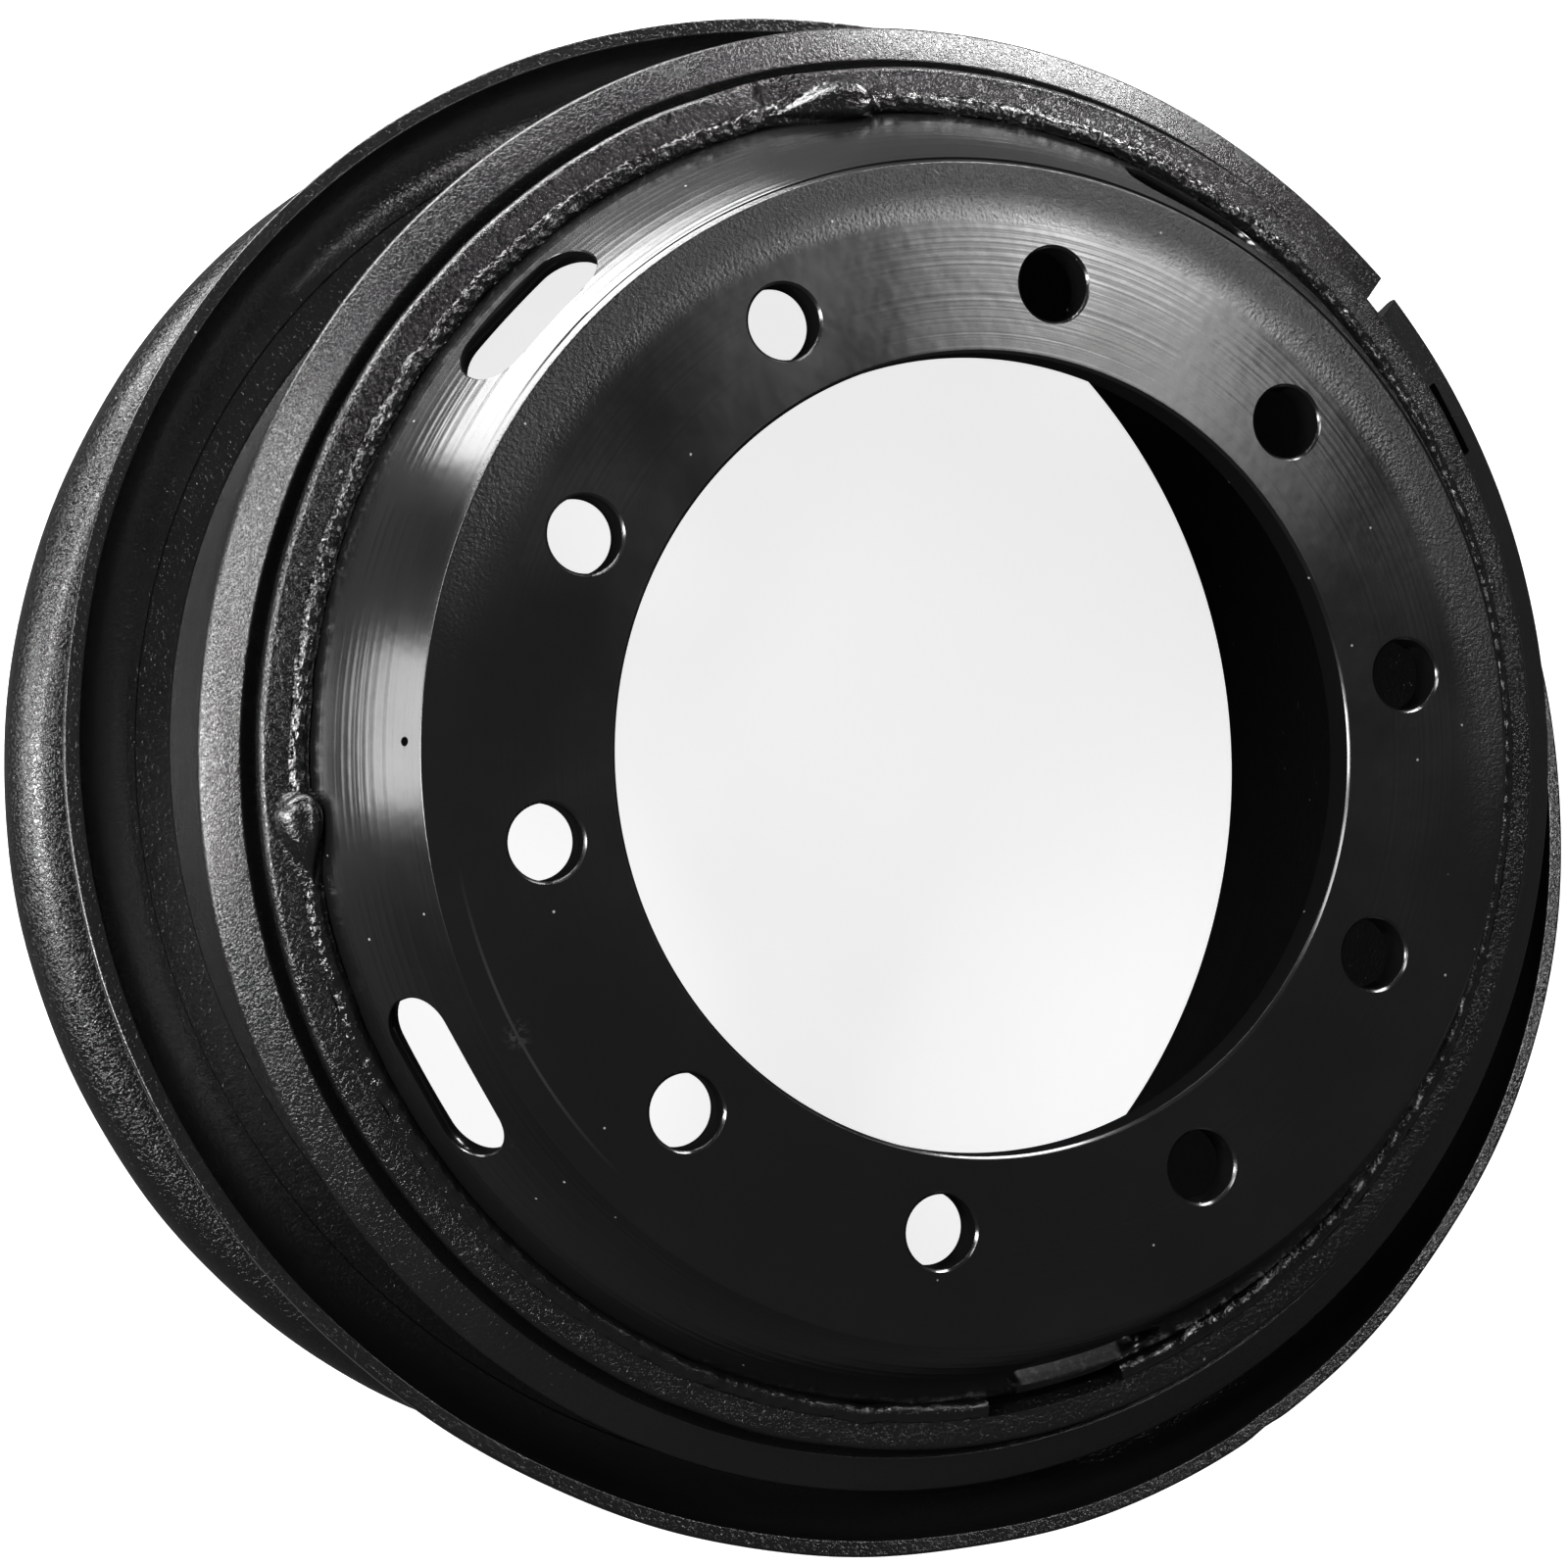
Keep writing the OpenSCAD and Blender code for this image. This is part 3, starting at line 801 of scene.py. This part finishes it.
def jam_lean(bore, width, across):
    """Lean at which a ring jams on something as wide as across, in degrees."""
    return math.degrees(math.acos(across / math.hypot(2 * bore, width)) - math.atan(width / (2 * bore)))


level = math.radians(jam_lean(SIDE_BORE_R, TOE_WALL, 2 * (BASE_R + TOUCH)))
strip_z = -CURL_R + TOE_WALL
touch_z = -SIDE_DROP + SIDE_BORE_R * math.sin(level) + strip_z * math.cos(level)
far_r = (BASE_R if touch_z < FOOT_END_Z else foot_r(touch_z)) + TOUCH
lean = math.radians(jam_lean(SIDE_BORE_R, TOE_WALL, BASE_R + TOUCH + far_r))
shift = BASE_R + TOUCH - SIDE_BORE_R * math.cos(lean) + CURL_R * math.sin(lean)


def side_unevenness(a, r, z):
    """The rolled lip is cut by hand and waves; it is flattened beside its butt weld."""
    lip = np.clip((r - 290.0) / 12.0, 0, 1)
    bend = 0.5 * (1 + waves(a, 41, 3, 26, 0.7))
    near = ((a - SIDE_WELD_AT + 180) % 360) - 180
    flat = np.exp(-((near - 14.0) / 13.0) ** 2)
    notch = np.exp(-((near / 1.1) ** 2))
    return a, r - lip * (bend + 1.0 * flat + 0.8 * notch), z


side_section = ease_edges(
    [(SIDE_BORE_R, strip_z, 0.8), (SIDE_BORE_R, -CURL_R, 1.0)]
    + arc(FLANGE_R - CURL_R, 0.0, CURL_R, -88, 0, 34)
    + [(FLANGE_R, 1.9, 0.8), (FLANGE_R - LIP_WALL + 0.2, 1.9, 1.6)]
    + arc(FLANGE_R - CURL_R, 0.0, CURL_R - LIP_WALL, 2, -86, 30)
    + [(SIDE_BORE_R + STRIP_W + 0.6, strip_z + TOE_STEP, 0.0), (SIDE_BORE_R + STRIP_W, strip_z, 0.3)]
)
# Turned round, so that its faces look outwards.
side_section.reverse()
side = roll_ring("side_ring_rolled", side_section, 540, shape=side_unevenness)
side.data.transform(
    Matrix.Rotation(math.radians(LEAN_DIR), 4, "Z")
    @ Matrix.Translation((shift * MM, 0, -SIDE_DROP * MM))
    @ Matrix.Rotation(lean, 4, "Y")
    @ Matrix.Rotation(math.radians(-LEAN_DIR), 4, "Z")
)
smooth_by_angle(side)
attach(side, "root")
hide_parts("side_ring")
side_enamel = steel_enamel("black_enamel_on_side_ring", "#0b0b0b", 0.16, 1.5, 0.05, 4.0, 0.14)
side.data.materials.append(side_enamel)


# Floor, light and camera
# The wheel lies on a plain pale floor. Soft boxes stand low at its upper left, behind it and above it.
# Only reflections see the studio's dim walls, which keep the rest of the enamel nearly black.
FLOOR_Z = cad_box[0].z
FLOOR_HALF = 6.0

floor_sheet = bpy.data.meshes.new("floor")
floor_corners = [(-FLOOR_HALF, -FLOOR_HALF, 0), (FLOOR_HALF, -FLOOR_HALF, 0)]
floor_corners += [(FLOOR_HALF, FLOOR_HALF, 0), (-FLOOR_HALF, FLOOR_HALF, 0)]
floor_sheet.from_pydata(floor_corners, [], [(0, 1, 2, 3)])
floor = bpy.data.objects.new("floor", floor_sheet)
floor.matrix_world = Matrix.Translation((0, 0, FLOOR_Z))
bpy.context.scene.collection.objects.link(floor)
# The paper glows a little to the camera, and is darker in the enamel's reflections and for its light.
white, tree, end = new_finish("white_studio_floor")
seen = add(tree, "LightPath")
glow = add(tree, "Math", {0: seen.outputs["Is Camera Ray"], 1: 0.8}, operation="MULTIPLY")
at_camera = seen.outputs["Is Camera Ray"]
tint = add(
    tree,
    "Mix",
    {"Factor": at_camera, "A": hex_colour("#4a4a4a"), "B": hex_colour("#c8c8c8")},
    data_type="RGBA",
)
paper = add(tree, "BsdfDiffuse", {"Color": tint.outputs["Result"]})
lift = add(tree, "Emission", {"Color": hex_colour("#ffffff"), "Strength": glow.outputs["Value"]})
both = add(tree, "AddShader", {0: paper.outputs["BSDF"], 1: lift.outputs["Emission"]})
tree.links.new(both.outputs["Shader"], end.inputs["Surface"])
floor.data.materials.append(white)

world = bpy.data.worlds.new("studio")
world.use_nodes = True
tree = world.node_tree
tree.nodes.clear()
seen = add(tree, "LightPath")
shown = add(
    tree,
    "Math",
    {0: seen.outputs["Is Camera Ray"], 1: seen.outputs["Is Glossy Ray"]},
    operation="MAXIMUM",
).outputs["Value"]
shown = add(
    tree,
    "Math",
    {0: shown, 1: seen.outputs["Is Transmission Ray"]},
    operation="MAXIMUM",
).outputs["Value"]
strength = add(tree, "MapRange", {"Value": shown, "To Min": 0.35, "To Max": 1.0}).outputs["Result"]
sky = add(tree, "Background", {"Color": hex_colour("#ffffff"), "Strength": strength})
tree.links.new(sky.outputs["Background"], add(tree, "OutputWorld").inputs["Surface"])
bpy.context.scene.world = world


def look_from(place, target):
    """A matrix that stands at place with its -Z towards target."""
    place, target = Vector(place), Vector(target)
    turn = (target - place).to_track_quat("-Z", "Y").to_matrix().to_4x4()
    return Matrix.Translation(place) @ turn


def soft_box(name, place, target, wide, high, power):
    """A rectangular soft box that the camera doesn't see."""
    lamp = bpy.data.lights.new(name, "AREA")
    lamp.shape = "RECTANGLE"
    lamp.size, lamp.size_y = wide, high
    lamp.energy = power
    box = bpy.data.objects.new(name, lamp)
    box.matrix_world = look_from(place, target)
    box.visible_camera = False
    bpy.context.scene.collection.objects.link(box)
    return box


soft_box("strip_top_low", (-0.31, 0.85, -0.085), (0, 0, -0.085), 0.84, 0.35, 19.0)
soft_box("strip_left_low", (-1.08, 0.23, -0.08), (0, 0, -0.08), 0.38, 0.36, 5.0)
soft_box("soft_box_left", (-1.18, 0.13, 0.53), (-0.29, 0.03, -0.27), 0.32, 0.50, 24.0)
soft_box("soft_box_top_left", (-0.82, 0.60, 0.80), (-0.2, 0.13, 0), 0.48, 0.34, 10.5)
soft_box("strip_back", (0.70, 1.08, 0.25), (0.07, 0.25, 0), 0.52, 0.27, 20.0)
soft_box("soft_box_above", (0.86, 0.33, 1.55), (0.05, 0.2, 0), 0.40, 0.22, 2.2)
soft_box("soft_box_above_back", (0.89, 0.57, 1.48), (0.05, 0.2, 0), 0.40, 0.24, 8.0)

dim_wall, tree, end = new_finish("dim_studio_wall")
haze = add(tree, "Emission", {"Color": hex_colour("#ffffff"), "Strength": 0.12})
tree.links.new(haze.outputs["Emission"], end.inputs["Surface"])
bpy.ops.mesh.primitive_uv_sphere_add(segments=32, ring_count=16, radius=3.2, location=(0, 0, 0))
tent = bpy.context.object
tent.name = "dim_studio"
tent.data.materials.append(dim_wall)
tent.visible_camera = False
tent.visible_shadow = False
tent.visible_diffuse = False
tent.visible_transmission = False

camera_data = bpy.data.cameras.new("camera")
camera_data.sensor_width = 36.0
camera_data.lens = 74.06
camera_data.clip_start = 0.05
camera = bpy.data.objects.new("camera", camera_data)
bpy.context.scene.collection.objects.link(camera)
camera.matrix_world = Matrix(
    (
        (0.92480, 0.13988, -0.35384, -0.4705),
        (-0.13535, 0.99008, 0.03766, 0.0423),
        (0.35560, 0.01306, 0.93455, 1.0426),
        (0, 0, 0, 1),
    )
)
bpy.context.scene.camera = camera
bpy.context.scene.view_settings.view_transform = "Standard"

bpy.context.view_layer.update()
